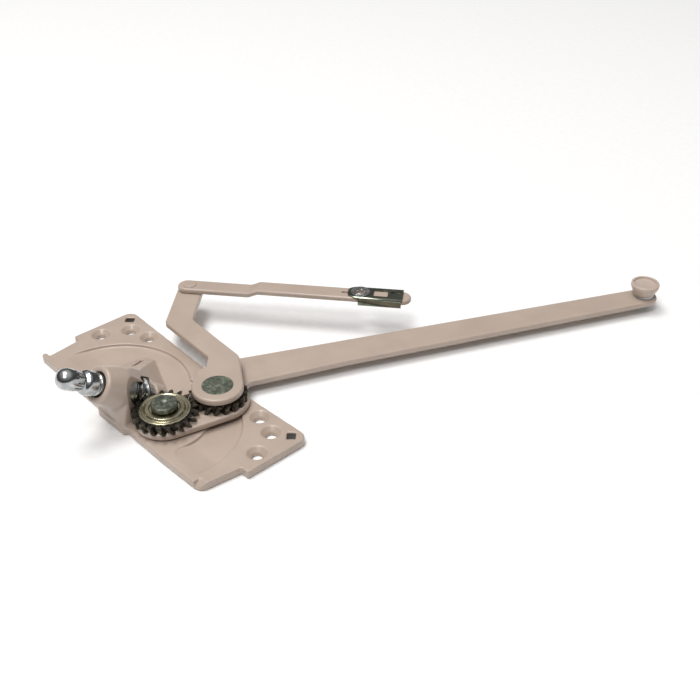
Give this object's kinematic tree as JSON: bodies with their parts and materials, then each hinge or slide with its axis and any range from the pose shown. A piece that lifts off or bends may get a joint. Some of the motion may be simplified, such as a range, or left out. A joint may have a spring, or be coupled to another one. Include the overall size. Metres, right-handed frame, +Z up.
{
  "type": "casement window operator",
  "caption": "Dual-arm casement window operator: cast base with an inclined worm spindle, geared long arm with roller, elbow arm and sash link with a snap clip.",
  "frame": {"origin": "centre of the base's mounting face, level with the middle of its length", "axes": "+Z up off the mounting face, +X along the base, +Y out of the window; the spindle rises towards -Y"},
  "size_m": [0.1955, 0.3077, 0.0424],
  "materials": {
    "painted_casting": "warm grey-beige enamel on a die casting, satin",
    "painted_steel": "warm grey-beige enamel on stamped steel, satin",
    "bright_steel": "bright zinc plate, polished",
    "dull_zinc": "dull grey-green zinc plate",
    "zinc_plate": "clear zinc plate, satin",
    "yellow_zinc": "yellow passivated zinc plate, glossy",
    "greased_steel": "dark steel with a film of grease",
    "nylon": "natural nylon, slightly translucent",
    "seal_rubber": "black rubber"
  },
  "bodies": {
    "base": {"base_casting": "painted_casting", "main_post": "bright_steel", "post_washer": "zinc_plate", "spindle_bushing": "zinc_plate", "spindle_seal": "seal_rubber", "bushing_circlip": "bright_steel", "worm_tail_bush": "zinc_plate"},
    "spindle": {"worm_spindle": "bright_steel", "worm_thrust_ring": "greased_steel"},
    "main_gear": {"main_gear": "greased_steel", "gear_flange": "yellow_zinc"},
    "long_arm": {"long_arm": "painted_steel", "elbow_rivet": "dull_zinc", "carrier_washer": "zinc_plate", "roller_stud": "bright_steel", "roller_washer": "zinc_plate"},
    "elbow_arm": {"elbow_arm": "painted_steel", "elbow_gear": "greased_steel", "link_rivet": "painted_steel", "link_washer": "zinc_plate"},
    "sash_link": {"sash_link": "painted_steel"},
    "sash_clip": {"sash_clip": "yellow_zinc", "clip_spring": "bright_steel"},
    "track_roller": {"track_roller": "nylon"}
  },
  "joints": [
    {"name": "long_arm_swing", "type": "hinge", "parent": "base", "child": "long_arm", "pos_m": [0.0204, -0.01, 0], "axis": [0, 0, 1], "range_deg": [-50, 10]},
    {"name": "main_gear_turn", "type": "hinge", "parent": "base", "child": "main_gear", "pos_m": [0.0204, -0.01, 0], "axis": [0, 0, 1], "range_deg": [-107, 22]},
    {"name": "crank_spin", "type": "hinge", "parent": "base", "child": "spindle", "pos_m": [0, -0.01, 0.0114], "axis": [0, -0.8131, 0.5821], "range_deg": [-430, 2130]},
    {"name": "elbow_turn", "type": "hinge", "parent": "long_arm", "child": "elbow_arm", "pos_m": [0.02635, 0.01685, 0], "axis": [0, 0, 1], "range_deg": [-13, 63]},
    {"name": "roller_spin", "type": "hinge", "parent": "long_arm", "child": "track_roller", "pos_m": [0.11318, 0.24878, 0], "axis": [0, 0, 1], "continuous": true},
    {"name": "link_pivot", "type": "hinge", "parent": "elbow_arm", "child": "sash_link", "pos_m": [-0.055, 0.0595, 0], "axis": [0, 0, 1], "range_deg": [-30, 50]},
    {"name": "clip_slide", "type": "slide", "parent": "sash_link", "child": "sash_clip", "axis": [0.776, 0.6307, 0], "range_m": [0, 0.004]}
  ],
  "couplings": [
    {"joint": "main_gear_turn", "follows": "long_arm_swing", "ratio": 2.125},
    {"joint": "elbow_turn", "follows": "long_arm_swing", "ratio": -1.25},
    {"joint": "crank_spin", "follows": "long_arm_swing", "ratio": -42.5}
  ]
}
